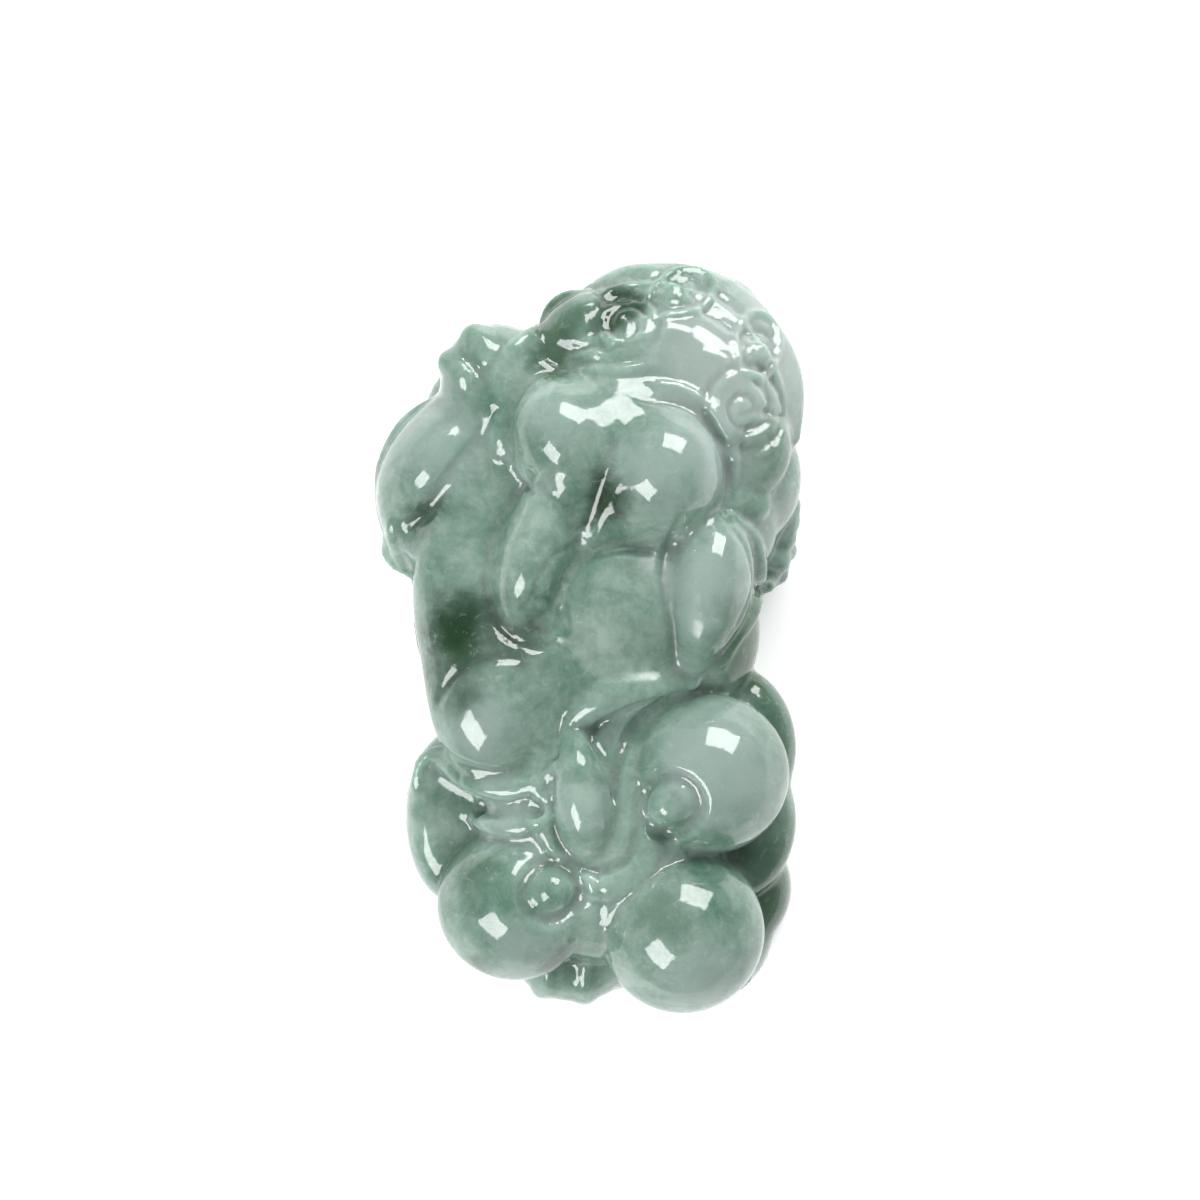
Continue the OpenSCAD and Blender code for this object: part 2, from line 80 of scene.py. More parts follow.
print("solid model, mm:", [round((b - a) / MM, 1) for a, b in zip(*cad_box)])

# %% [markdown]
# ## The camera
# The carving lies on its belly and is seen from straight above, with its head at the top of
# the frame. A long lens a good distance away keeps the balls round. Turning a camera straight
# down needs no rotation at all: a new camera already looks along -Z with +Y up. The stone
# fills about two thirds of the height, so the view is a little wider than the stone is long.

# %% Camera straight above
LENS, SENSOR = 100.0, 36.0
VIEW_W = 81.2 * MM
AIM = (0.5 * MM, 2.7 * MM)
SHARP_Z = 12 * MM  # the level at which the view is exactly VIEW_W wide
EYE_Z = SHARP_Z + VIEW_W * LENS / SENSOR

camera_data = bpy.data.cameras.new("lens")
camera_data.lens = LENS
camera_data.sensor_width = SENSOR
camera_data.clip_start = 0.01
camera = put("camera", camera_data)
camera.location = (*AIM, EYE_Z)
scene.camera = camera
print("camera height, mm:", round(EYE_Z / MM, 1))

# %% [markdown]
# ## The block
# A carver starts from a sawn block and takes stone away. The same idea works in code: a block
# of small cells, where each cell holds its distance to the skin of the stone, negative inside.
# Adding a mass takes the smaller of two distances, and cutting a groove takes the larger.
# Separate subdivision meshes would show a seam wherever two of them meet, and light that
# scatters inside the stone would stop there. One field gives one closed skin. Work is in
# millimetres, and a cell is a quarter of one, as wide as the finest groove.

# %% A block of cells around the solid model
CELL = 0.25
BORDER = 5 * CELL  # empty cells around the solid model
EMPTY = 5.0        # distance in a cell that no mass has reached yet
block_low = np.array(cad_box[0]) / MM - BORDER
block_high = np.array(cad_box[1]) / MM + BORDER
counts = np.ceil((block_high - block_low) / CELL).astype(int) + 1
rows = [block_low[k] + CELL * np.arange(counts[k]) for k in range(3)]
field = np.full(counts, EMPTY, np.float32)
print("cells:", counts, "=", int(counts.prod()))


def cells_near(low, high):
    """The cells between two corners, and the grid of their places."""
    a = np.clip(np.floor((low - block_low) / CELL).astype(int), 0, counts - 1)
    b = np.clip(np.ceil((high - block_low) / CELL).astype(int) + 1, 1, counts)
    part = tuple(slice(i, j) for i, j in zip(a, b))
    return part, np.meshgrid(*(rows[k][part[k]].astype(np.float32) for k in range(3)),
                             indexing="ij")


def join(old, new, soft):
    """Both masses as one, with a fillet about as wide as soft where they meet."""
    t = np.clip(0.5 + 0.5 * (old - new) / soft, 0, 1)
    return old + (new - old) * t - soft * t * (1 - t)


def middle(node):
    """The middle of a solid's box, in millimetres."""
    low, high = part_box(node)
    return np.array((low + high) / 2) / MM

# %% [markdown]
# ## The broad masses
# Each solid of the model is a round form, and the skin starts from the same forms in the same
# places. The fillet between two of them is narrow, because a jade carver leaves a crisp valley
# where two masses meet: the wheel that cut it is only a few tenths of a millimetre wide. Thick
# flowing parts, such as the belly, get a wider one.

# %% One mass, egg-shaped or flat-topped
REACH = 1.4       # how far around a mass or a stroke the cells are worked
EGG, PAD = 2, 4   # how square the outline is: 2 is an egg, 4 is nearly a pad
TINY = 1e-4       # keeps a division by zero away


def add_mass(at, size, turn, soft, power=EGG):
    """Joins a mass to the block: its middle, three sizes, turn about Z, fillet and squareness."""
    half = np.array(size, float) / 2
    reach = np.array([half[:2].max()] * 2 + [half[2]]) + REACH
    part, place = cells_near(at - reach, at + reach)
    x, y, z = (place[k] - at[k] for k in range(3))
    c, s = math.cos(math.radians(turn)), math.sin(math.radians(turn))
    a, b = (x * c + y * s) / half[0], (y * c - x * s) / half[1]
    flat = np.maximum(np.hypot(a, b), TINY)
    tall = np.abs(z) / half[2]
    out = np.maximum((flat ** power + tall ** power) ** (1 / power), 10 * TINY)
    lean = np.hypot(a / half[0], b / half[1]) / flat * (flat / out) ** (power - 1)
    rise = (tall / out) ** (power - 1) / half[2]
    gap = (out - 1) / np.maximum(np.hypot(lean, rise), TINY)
    field[part] = join(field[part], gap, soft)


# %% Flat-topped masses: what lies under the carving, and the plates of the legs
# Node, size in mm, turn in degrees, fillet, and the shift from the middle of the solid's box
PADS = [
    ("back_saddle", (20, 22, 26), 0, 1.0, (-1.6, 0.6, -9.6)),
    ("tail_drop", (18, 19, 26), 0, 1.0, (0.6, -1.4, -11.6)),
    ("left_flank", (12.8, 22, 13), 0, 1.2, (2.4, 0.8, -0.3)),
    ("left_foreleg", (12.6, 8.4, 9.6), 51, 1.2, (1.6, -1.2, -0.8)),
    ("left_crest_dome", (9, 12, 11), 35, 1.2, (-3.4, 2.6, -4.5)),
    ("right_crest_dome", (16, 13, 29), -20, 1.2, (-3, 1, -13.2)),
    ("head", (18, 14.8, 27), -35, 1.0, (0.2, -0.1, -6.8)),
    ("right_crest_dome", (6, 6.4, 31), 0, 1.4, (-4, -2, -13.4)),
    ("elbow_tuft", (5, 6.4, 7), 0, 0.8, (1.3, 0.8, -1)),
    ("right_hind_leg", (9.6, 11.6, 7.6), 0, 0.5, (0.9, 2, 0.3)),
    ("right_hind_leg", (9.6, 11.6, 7.6), 0, 0.5, (0.9, -3, 0.3)),
    ("right_hind_paw", (9.8, 9.6, 13), 0, 0.5, (1.5, 1.9, -3.2)),
    ("right_hind_paw", (10.4, 10, 13), 0, 0.5, (-0.1, -1.1, -3.2)),
    ("left_hind_leg", (7, 12, 7.8), 0, 0.6, (-1.1, 0.1, -1.4)),
    ("tail_tuft", (8.6, 6.4, 15), 0, 0.5, (-0.5, -0.2, -5)),
]
for node, size, turn, soft, shift in PADS:
    add_mass(middle(node) + shift, size, turn, soft, PAD)
print("flat-topped masses:", len(PADS))


# %% Egg-shaped masses, deepest first
MASSES = [
    ("head", (18.2, 16.2, 9), -35, 0.8, (0.6, 0.9, 1)),
    ("belly", (20.4, 38, 8), 0, 1.0, (0, 0.4, -0.8)),
    ("jaw", (19.4, 16.4, 7.6), -35, 0.5, (0, 0, 0.7)),
    ("left_hind_paw", (8, 11.6, 6.4), 0, 0.4, (0, 0, 0)),
    ("right_flank", (6.6, 10.7, 11), 0, 0.5, (0, 0, 0.2)),
    ("right_foreleg", (9, 14, 14), 0, 0.8, (-2.8, -1.4, 0.6)),
    ("right_foreleg", (6.6, 9.2, 9.4), 0, 0.5, (-0.2, 0.3, 0.1)),
    ("right_forepaw", (6, 8, 5.6), 0, 0.3, (0, 0.2, -0.1)),
    ("left_foreleg", (11.4, 7.6, 12.6), 51, 0.8, (0.9, 0, 0)),
    ("left_forepaw", (8.6, 5, 5.6), 51, 0.3, (0, 0, -0.1)),
    ("back_saddle", (10.8, 10.2, 10), 0, 2.0, (0.4, 1.4, -0.1)),
    ("left_mane_lobe", (5.6, 11.4, 9), -16, 0.5, (0, 0.2, 0.1)),
    ("right_mane_lobe", (6, 11, 9.2), -10, 0.35, (-0.2, 0, 0)),
    ("tail_drop", (4.6, 8.8, 7), 8, 0.35, (-0.6, 0.9, 0.2)),
    ("left_hock", (10.8, 10.4, 10.4), 0, 0.35, (0, 0, 0)),
    ("right_hock", (11.2, 11.2, 11.2), 0, 0.35, (0, 0, 0)),
    ("right_haunch", (10.9, 10.9, 10.9), 0, 0.3, (0, 0, 0)),
    ("right_crest_dome", (13.6, 12, 9.4), -10, 1.0, (-3.1, 1.4, -1.1)),
    ("left_crest_dome", (7.6, 8.8, 9.8), 20, 1.2, (0, 0.2, -0.1)),
    ("right_crest_dome", (8.4, 9.2, 9.8), -20, 1.1, (0.1, 0.4, -0.1)),
    ("snout", (7.6, 5.4, 6.4), -35, 0.6, (0, 0, 0)),
    ("hip_bead", (7, 9.4, 6), 0, 3.0, (0.2, 1.2, 0)),
    ("elbow_tuft", (3.4, 4.4, 4), 0, 0.3, (0, 0, 0)),
    ("left_ear", (4.4, 6.2, 5.4), 121, 0.6, (0, 0, -0.2)),
    ("right_ear", (4.4, 6.2, 5.4), -11, 0.6, (0, 0, -0.2)),
    ("head_tuft", (3.6, 3.6, 3.6), 0, 0.8, (0.2, -0.2, -0.4)),
    ("left_eye", (3.1, 3.1, 3.1), 0, 0.25, (0, 0, 0)),
    ("right_eye", (3.1, 3.1, 3.1), 0, 0.25, (0, 0, 0)),
]
for node, size, turn, soft, shift in MASSES:
    add_mass(middle(node) + shift, size, turn, soft)
print("broad masses:", len(MASSES))

# %% [markdown]
# ## Carving strokes
# The rest is done as the carver does it, in strokes of a small round wheel along a line on the
# skin. A stroke is a list of points with a width at each, laid over the stone from one side and
# dropped onto the skin. With a positive rise it leaves a raised strip, and with a negative one
# it cuts a groove. The line is smoothed through its points, so a few of them make a long curl.

# %% Dropping a line onto the skin and following it
STRIDE = 0.3                  # step along a line
SIGHT = 34.0                  # half the length of a look through the stone
THINNEST = 0.05               # narrowest tool
FAR = 9.0                     # more than any worked cell lies from a stroke
RING_STEP = 24                # degrees between two points of a ring
UP = tuple(np.eye(3))         # seen from above: right, up and towards the eye


def side(bearing):
    """The stone seen from one side: right, up and towards the eye."""
    b = math.radians(bearing)
    return np.array((-math.sin(b), math.cos(b), 0)), UP[2], np.array((math.cos(b), math.sin(b), 0))


def distance_at(places):
    """The field between cells."""
    g = np.clip((places - block_low) / CELL, 0, counts - 1.001)
    i = g.astype(int)
    f = g - i
    total = np.zeros(places.shape[:-1])
    for corner in np.ndindex(2, 2, 2):
        share = np.where(corner, f, 1 - f).prod(-1)
        total += share * field[tuple(np.moveaxis(i + corner, -1, 0))]
    return total


def smooth_line(points):
    """A curve through the points, in short steps. The width is carried along as a number."""
    p = np.array(points, float)
    if len(p) < 2:
        return p
    ends = np.vstack((2 * p[0] - p[1], p, 2 * p[-1] - p[-2]))
    line = []
    for a, b, c, d in zip(ends, ends[1:], ends[2:], ends[3:]):
        steps = max(2, int(np.linalg.norm((c - b)[:2]) / STRIDE))
        for t in np.arange(steps) / steps:
            line.append(0.5 * (2 * b + (c - a) * t + (2 * a - 5 * b + 4 * c - d) * t ** 2
                               + (3 * b - a - 3 * c + d) * t ** 3))
    return np.array(line + [p[-1]])


def stroke(at, view, points, rise, soft=0.12):
    """Raises (rise > 0) or cuts (rise < 0) the skin along points (right, up, radius)."""
    line = smooth_line(points)
    radius = np.maximum(line[:, 2], THINNEST)
    right, up, towards = view
    start = at + line[:, :1] * right + line[:, 1:2] * up
    start = start - (start @ towards)[:, None] * towards
    ways = SIGHT - np.arange(0, 2 * SIGHT, CELL / 2)
    depth = distance_at(start[:, None] + ways[None, :, None] * towards)
    order = np.arange(len(line))
    first = (depth < 0).argmax(1)
    met = first > 0
    if not met.any():
        print("a stroke misses the stone:", points[0])
        return
    inner, outer = depth[order, first], depth[order, first - 1]
    hit = ways[first] + (CELL / 2) * inner / np.minimum(inner - outer, -1e-3)
    hit = np.interp(order, order[met], hit[met])
    lift = rise * radius / radius.max()
    centre = start + (hit + lift - np.sign(rise) * radius)[:, None] * towards
    work_along(centre, radius, rise > 0, soft)


def work_along(centre, radius, adding, soft):
    """Adds or cuts a rod through the given places, with its radius at each."""
    reach = radius.max() + REACH
    part, place = cells_near(centre.min(0) - reach, centre.max(0) + reach)
    tool = np.full(place[0].shape, FAR, np.float32)
    if len(centre) == 1:
        centre, radius = np.vstack((centre, centre + 1e-3)), np.repeat(radius, 2)
    links = zip(centre, centre[1:], radius, radius[1:])
    for a, b, ra, rb in links:
        ab = b - a
        off = [place[k] - a[k] for k in range(3)]
        t = np.clip(sum(off[k] * ab[k] for k in range(3)) / max(ab @ ab, 1e-9), 0, 1)
        gap = np.sqrt(sum((off[k] - t * ab[k]) ** 2 for k in range(3))) - (ra + t * (rb - ra))
        np.minimum(tool, gap, out=tool)
    old = field[part]
    field[part] = join(old, tool, soft) if adding else -join(-old, tool, soft)


def edge(at, points, soft=0.5):
    """A raised edge through places in space: right, forward, up, radius."""
    line = smooth_line(points)
    work_along(at + line[:, :3], line[:, 3], True, soft)


def ring(u, v, size, width, start=0, sweep=360, shrink=0.0):
    """Points around a circle, which becomes a spiral where it shrinks."""
    count = max(6, int(abs(sweep) / RING_STEP))
    points = []
    for t in np.arange(count + 1) / count:
        angle = math.radians(start + sweep * t)
        out = size * (1 - shrink * t)
        points.append((u + out * math.cos(angle), v + out * math.sin(angle), width))
    return points


def carve(name, lines):
    """Works a list of strokes in order."""
    for line in lines:
        stroke(*line)
    print(name, "strokes:", len(lines))


# %% [markdown]
# ## The rump
# Three balls make the rump: the right haunch with its knob, and the two hocks. Between them
# hangs a drop, looped by a band like a tied ribbon, and a petal wraps the haunch. Each knob
# sits in a ring cut with a hollow drill, which is how a jade carver makes a round boss.

# %% Haunch, hocks, drop and petal
haunch = middle("right_haunch")
right_hock = middle("right_hock")
left_hock = middle("left_hock")
drop = middle("tail_drop")

RUMP = [
    # petal around the haunch, its edge line and its inner fold
    (haunch, UP, [(-9.6, 2.6, 0.3), (-8.6, 4.2, 1), (-6.8, 5.3, 1.4), (-4.4, 6, 1.3),
                  (-1.6, 6, 0.5)], 0.9, 0.5),
    (haunch, UP, [(-8.3, 1.4, 0.2), (-7.6, 3.2, 0.3), (-6.2, 4.1, 0.32), (-4.2, 4.9, 0.3),
                  (-2, 5.3, 0.2)], -0.3, 0.2),
    # valley between the petal and the ball
    (haunch, UP, [(-6.5, -1.6, 0.3), (-6.1, 1.2, 0.45), (-4.9, 3.4, 0.5), (-3, 4.9, 0.45),
                  (-0.6, 5.7, 0.3)], -0.5, 0.3),
    # drop with its pointed top
    (drop, UP, [(-1.2, 6, 0.4), (-1, 4.6, 0.9), (-0.8, 3, 1.3)], 0.3, 0.4),
    # ribbon that loops under it
    (drop, UP, [(-2.9, 1, 0.6), (-2.7, -1.4, 0.9), (-1.4, -3.9, 1.1), (0.8, -4.9, 1.25),
                (3, -4, 1.2), (4.1, -1.8, 1), (4, 0.6, 0.7)], 0.6, 0.2),
    (drop, UP, [(-2.6, 0.6, 0.2), (-2.3, -1.5, 0.3), (-1.2, -3.1, 0.35), (0.6, -3.8, 0.35),
                (2.3, -3.1, 0.35), (3, -1.4, 0.3), (3, 0.6, 0.2)], -0.3, 0.2),
    # leaf folded up beside the drop
    (drop, UP, [(-3.7, 4.2, 0.4), (-3.4, 2.2, 0.8), (-3.1, 0.2, 0.8), (-3.3, -1.4, 0.4)],
     0.25, 0.4),
    (drop, UP, [(-2.2, 4.4, 0.2), (-2.5, 2.4, 0.28), (-2.5, 0.8, 0.25)], -0.3, 0.15),
    # fine line between the two hocks
    (right_hock, UP, [(-5.8, 4.4, 0.2), (-5.6, 2.4, 0.25), (-5.7, 0.4, 0.2)], -0.15, 0.15),
]
carve("rump", RUMP)
for knob, width in (("haunch_knob", 1.95), ("hock_knob", 1.9)):
    stroke(middle(knob), UP, ring(0, 0, width, 0.5), -0.45, 0.35)
    stroke(middle(knob), UP, [(0, 0, 1.5)], 0.7, 0.25)

# %% [markdown]
# ## The back
# A smooth saddle lies in the middle of the back, between two lobes of the mane. The left lobe
# is a long bean that ends in a small curl, and the right one is a teardrop with a double edge
# on its outer side. A sprig of leaves with two drilled pits grows over the left haunch.

# %% Saddle, mane lobes and sprig
saddle = middle("back_saddle")
left_lobe = middle("left_mane_lobe")
right_lobe = middle("right_mane_lobe")
sprig = middle("leaf_sprig")

BACK = [
    # rim of the saddle, against the lobes and the crest
    (saddle, UP, [(-3.4, -0.6, 0.25), (-3.7, 1.4, 0.4), (-2.6, 3.8, 0.45),
                  (-0.4, 4.9, 0.45), (2, 4.9, 0.3)], -0.4, 0.4),
    # long left lobe, fatter at the top
    (left_lobe, UP, [(2.2, 5, 1.2), (1, 3.4, 1.9)], 0.25, 0.5),
    (left_lobe, UP, [(-0.2, 5.6, 0.25), (-2, 3.4, 0.35), (-3.2, 0.4, 0.35), (-3.3, -2.4, 0.3),
                     (-2, -5, 0.35), (0, -6, 0.3), (1.6, -5.6, 0.2)], -0.25, 0.3),
    # curl at its lower end
    (left_lobe, UP, ring(0.5, -4, 1.5, 0.3, 150, -300, 0.5), -0.18, 0.15),
    (left_lobe, UP, [(2.4, 0.8, 0.2), (0.9, -0.4, 0.3), (0.1, -2, 0.3), (0.3, -3, 0.2)],
     -0.22, 0.2),
    # right teardrop with its tail
    (right_lobe, UP, [(-0.4, -2.4, 1.9), (-1, -4.8, 1.1), (-1.3, -6.4, 0.6)], 0.3, 0.5),
    (right_lobe, UP, [(-2.2, 4.4, 0.25), (-3.1, 1.8, 0.32), (-3.1, -0.8, 0.35),
                      (-2.6, -3, 0.32), (-2.5, -5.4, 0.25)], -0.25, 0.3),
    # its raised outer edge
    (right_lobe, UP, [(1.4, 4.6, 0.35), (2.9, 3.2, 0.5), (3.5, 0.6, 0.55), (2.9, -1.8, 0.5),
                      (1.4, -4, 0.45), (0.6, -5.8, 0.3)], 0.22, 0.15),
    (right_lobe, UP, [(1.4, 3.8, 0.2), (2.4, 2.4, 0.28), (2.8, 0.4, 0.3), (2.2, -1.8, 0.28),
                      (0.9, -3.8, 0.2)], -0.2, 0.12),
    # sprig: two leaves and a stem, with pits between them
    (sprig, UP, [(-5.2, 3.2, 0.3), (-3.9, 2.6, 0.75), (-2.4, 1.6, 0.9), (-0.4, 1.1, 0.9),
                 (1.8, 1.5, 0.8), (3.4, 2.8, 0.4)], 0.45, 0.2),
    (sprig, UP, [(-3, -0.6, 0.4), (-0.8, -1.4, 0.75), (1.4, -1.3, 0.75), (3, -0.4, 0.4)],
     0.45, 0.2),
    (sprig, UP, [(-1.9, -0.2, 0.75)], -0.55, 0.3),
    (sprig, UP, [(1.9, -0.1, 0.65)], -0.5, 0.3),
    (sprig, UP, [(-2.8, 0.9, 0.2), (-0.6, 0.2, 0.25), (1.6, 0.6, 0.2)], -0.15, 0.15),
    # valleys around the hip bead and behind the left flank
    (sprig, UP, [(-4.6, 4, 0.3), (-3.4, 2.9, 0.4), (-1.4, 2.2, 0.45), (0.8, 2.5, 0.4),
                 (2.2, 4, 0.3)], -0.3, 0.4),
    (left_lobe, UP, [(-6.6, -9.5, 0.3), (-5.2, -7.6, 0.4), (-3, -6.6, 0.4), (-1, -6.6, 0.3)],
     -0.2, 0.4),
]
carve("back", BACK)
edge(sprig, [(-6.5, 1.2, -3.4, 0.25), (-6, 2.8, -2.8, 0.35), (-5, 3.6, -2.2, 0.35),
             (-3.7, 3.6, -1.6, 0.25)], 0.5)

# %% [markdown]
# ## The crest and the head
# Two polished domes rise behind the head. Bands wrap them like a collar, and the head is
# covered in small curls: a spiral over each ear, rings along the brow, three folds of skin at
# the nape and a rim along the front of the mane. The spirals are drilled and then undercut.

# %% Collar, folds and curls seen from above
right_dome = middle("right_crest_dome")
left_dome = middle("left_crest_dome")
skull = middle("head")
left_curl = middle("left_ear_curl")
right_curl = middle("right_ear_curl")

CREST = [
    # valley that rises between the domes
    (right_dome, UP, [(-5, -3.4, 0.4), (-4.3, -1.2, 0.6), (-3.7, 0.6, 0.55), (-3.1, 2.4, 0.3)],
     -0.45, 0.5),
    # collar around the right dome, with a fine rib
    (right_dome, UP, [(0, 5.8, 0.6), (2.4, 5.2, 1), (4.4, 3.4, 1.2), (5.2, 0.8, 1.2),
                      (5.4, -1.4, 0.7)], 0.25, 0.5),
    (right_dome, UP, [(-1.4, 5.2, 0.2), (1.6, 4.7, 0.3), (3.6, 3, 0.35), (4.4, 0.6, 0.32),
                      (4.3, -1.6, 0.2)], -0.22, 0.2),
    (right_dome, UP, [(4.8, -1.6, 0.15), (5.5, 0.8, 0.22), (5, 3, 0.15)], -0.15, 0.08),
    # lobe under the right ear
    (right_dome, UP, [(6.2, -1.6, 1.3)], 0.25, 0.4),
    # strap around the left dome
    (left_dome, UP, [(0.6, 5.4, 0.5), (-1, 6.4, 1.1), (-2.8, 6, 1.4), (-4, 4.4, 1.4),
                     (-4.4, 2, 1.2), (-4.2, -0.6, 0.6)], 0.3, 0.5),
    (left_dome, UP, [(0.2, 4.6, 0.2), (-1.6, 4.7, 0.38), (-3, 3.4, 0.42), (-3.7, 1.2, 0.38),
                     (-3.4, -1, 0.25)], -0.22, 0.3),
    (left_dome, UP, [(-3.6, -0.8, 0.2), (-3.2, -2.4, 0.28), (-2, -3.6, 0.2)], -0.2, 0.1),
    # three folds at the nape
    (skull, UP, [(-6, 3.4, 0.25), (-4.6, 3.6, 0.5), (-3, 3.5, 0.5), (-1.4, 3.9, 0.25)],
     0.3, 0.12),
    (skull, UP, [(-5.9, 2.5, 0.25), (-4.4, 2.6, 0.48), (-2.8, 2.5, 0.48), (-1, 3, 0.25)],
     0.28, 0.12),
    (skull, UP, [(-5.6, 1.5, 0.2), (-4.2, 1.5, 0.42), (-2.6, 1.5, 0.42), (-0.8, 2, 0.2)],
     0.22, 0.12),
    # bumps of the forehead
    (skull, UP, [(-0.2, 4.1, 0.9), (1, 3.9, 0.9)], 0.12, 0.3),
    (skull, UP, [(2.6, 2.6, 0.3), (3.8, 2.2, 0.45), (4.1, 1.2, 0.45), (3.2, 0.4, 0.3)], 0.15, 0.2),
]
carve("crest", CREST)
for curl, size, start, sweep in ((left_curl, 2.2, 30, 420), (right_curl, 2.8, 70, -430)):
    stroke(curl, UP, ring(0, 0, size, 0.32), -0.24, 0.2)
    stroke(curl, UP, ring(0, 0, 0.68 * size, 0.26, start, sweep, 0.7), -0.24, 0.1)
for u, v, size in ((-3.4, 7.9, 1.6), (0.6, 7.2, 1.5), (3.3, 6, 0.8), (6.1, 3.2, 1.25)):
    stroke(skull, UP, ring(u, v, size, 0.24, 30, 260), -0.1, 0.15)
    stroke(skull, UP, ring(u, v, size * 0.5, 0.18, 40, 230), -0.08, 0.1)

# %% Ears, mane rim and scroll
edge(skull, [(-8.6, 3.4, 2.2, 0.3), (-8, 5.6, 2.6, 0.45), (-6.8, 6.6, 2.9, 0.5),
             (-5.2, 6.8, 3, 0.4)], 0.4)
edge(skull, [(-5, 7.2, 2, 0.3), (-2.6, 8.3, 2.2, 0.45), (-0.8, 8.2, 2.4, 0.45),
             (2.2, 7.3, 2.4, 0.45), (5.6, 5.2, 2.2, 0.45), (7.7, 3.4, 1.8, 0.45),
             (8.7, 1, 1.4, 0.45), (8.8, -2.8, 1, 0.35)], 0.7)
HEAD_TURN = math.radians(-35)
HEAD_HALF = (9, 7.4)


def around_head(out, first, last, width):
    """Points along the head's oval, from one angle to another, at a share of its size."""
    points = []
    for angle in np.radians(np.linspace(first, last, 10)):
        u, v = HEAD_HALF[0] * out * math.cos(angle), HEAD_HALF[1] * out * math.sin(angle)
        points.append((u * math.cos(HEAD_TURN) - v * math.sin(HEAD_TURN),
                       u * math.sin(HEAD_TURN) + v * math.cos(HEAD_TURN), width))
    return points


RIM = [
    # fine raised rim along the head's front and right, with a groove inside it
    (skull, UP, around_head(0.93, 20, 150, 0.28), 0.22, 0.1),
    (skull, UP, around_head(0.82, 25, 145, 0.22), -0.12, 0.15),
    # bright edge where the crest meets the nape
    (right_dome, UP, [(-1, 6.4, 0.2), (1.6, 5.9, 0.28), (3.6, 4.2, 0.3), (4.9, 1.6, 0.28),
                      (5.2, -1.4, 0.2)], 0.2, 0.1),
    # hollow of the left ear
    (skull, UP, [(-6.8, 4.2, 0.6), (-6.2, 5.2, 0.8), (-5.4, 5.6, 0.5)], -0.2, 0.4),
    # scroll of the right ear
    (skull, UP, ring(6.4, -3.5, 1.5, 0.3, 110, 300, 0.5), -0.15, 0.15),
    (skull, UP, [(4.8, -1.5, 0.2), (6.2, -1.2, 0.28), (7.8, -1.5, 0.2)], -0.16, 0.15),
]
carve("rim", RIM)

# %% [markdown]
# ## The forelegs and the fins
# The left foreleg is a teardrop with a double edge, and above it a scalloped fin stands out
# from the shoulder. A second fin fringes the right elbow. Both are thin, which is why they
# look paler and greyer than the thick of the stone. That paleness, which light through the
# thin stone gives, is also painted into the colour as a pale patch on each fin.

# %% Shoulder teardrop, fins and elbow
foreleg = middle("left_foreleg")
elbow = middle("elbow_tuft")
right_arm = middle("right_foreleg")

LIMBS = [
    (foreleg, UP, [(-1.2, -4.6, 0.3), (0.2, -3.2, 0.5), (1.8, -1, 0.5), (3.4, 1.2, 0.45),
                   (4.4, 3, 0.3)], -0.3, 0.5),
    # shoulder fin: two scallops
    (foreleg, UP, [(1.6, 6.4, 1), (2.6, 5.6, 1.1)], 0.3, 0.4),
    (foreleg, UP, [(3.2, 8, 1.1), (4.2, 6.8, 1.2)], 0.3, 0.4),
    (foreleg, UP, [(4.6, 5.6, 0.3), (5.4, 6.8, 0.5), (6.4, 7.8, 0.5), (7.4, 8.8, 0.3)], 0.3, 0.2),
    (foreleg, UP, [(2.4, 6.8, 0.2), (3.4, 5.8, 0.35), (4, 4.8, 0.2)], -0.25, 0.3),
    # elbow leaf
    (elbow, UP, [(-0.9, 1, 0.3), (-0.6, -0.6, 0.5), (-0.2, -1.8, 0.3)], 0.3, 0.12),
]
edge(foreleg, [(-3.3, -4.6, -0.6, 0.3), (-3.6, -2.4, 0.4, 0.4), (-3.2, 0, 1.2, 0.42),
               (-1.7, 2.6, 1.6, 0.42), (1, 4.3, 1.4, 0.42), (3, 5, 1, 0.3)], 0.15)
carve("limb", LIMBS)
for u, v, size in ((1.8, -0.6, 0.9), (2.3, -1.6, 0.9), (2.3, -2.7, 0.85), (2, -3.8, 0.9),
                   (1.5, -5.4, 1), (0.8, -6.9, 0.9)):
    edge(right_arm, [(u, v, -1.6, size), (u - 1.2, v + 0.2, -1, size)], 0.4)

# %% [markdown]
# ## The sides and the face
# The same strokes work from any side. The face looks forward and a little to the right, with
# a broad snout, two nostrils, a mouth line that curls up at the corners, and a beard. Paws get
# toes, the cheeks, the left flank and a hock get the flat curls of a mane, and the tail ends in
# a tuft of three locks.

# %% Face
FACE = side(55)
snout = middle("snout")
FACE_LINES = [
    (snout, FACE, [(-1.5, 0.8, 1.1), (0, 1.3, 1.2), (1.5, 0.8, 1.1)], 0.5, 0.3),
    (snout, FACE, [(-1.7, 0.3, 0.42)], -0.7, 0.12),
    (snout, FACE, [(1.7, 0.3, 0.42)], -0.7, 0.12),
    (snout, FACE, [(-5.6, -0.6, 0.25), (-4.6, -1.6, 0.35), (-2.6, -2, 0.35), (0, -1.6, 0.35),
                   (2.6, -2, 0.35), (4.6, -1.6, 0.35), (5.6, -0.6, 0.25)], -0.5, 0.15),
    (snout, FACE, [(-4.8, -2.6, 0.3), (-2.6, -3.1, 0.6), (0, -2.9, 0.65), (2.6, -3.1, 0.6),
                   (4.8, -2.6, 0.3)], 0.4, 0.2),
    (snout, FACE, [(-5, 1.4, 0.3), (-3.6, 2.4, 0.45), (-2.4, 1.8, 0.3)], -0.35, 0.2),
    (snout, FACE, [(5, 1.4, 0.3), (3.6, 2.4, 0.45), (2.4, 1.8, 0.3)], -0.35, 0.2),
]
for u in (-3.4, -1.2, 1.2, 3.4):
    FACE_LINES.append((snout, FACE, [(u, -3.6, 0.2), (u * 1.15, -4.8, 0.32), (u, -5.8, 0.2)],
                       -0.3, 0.12))
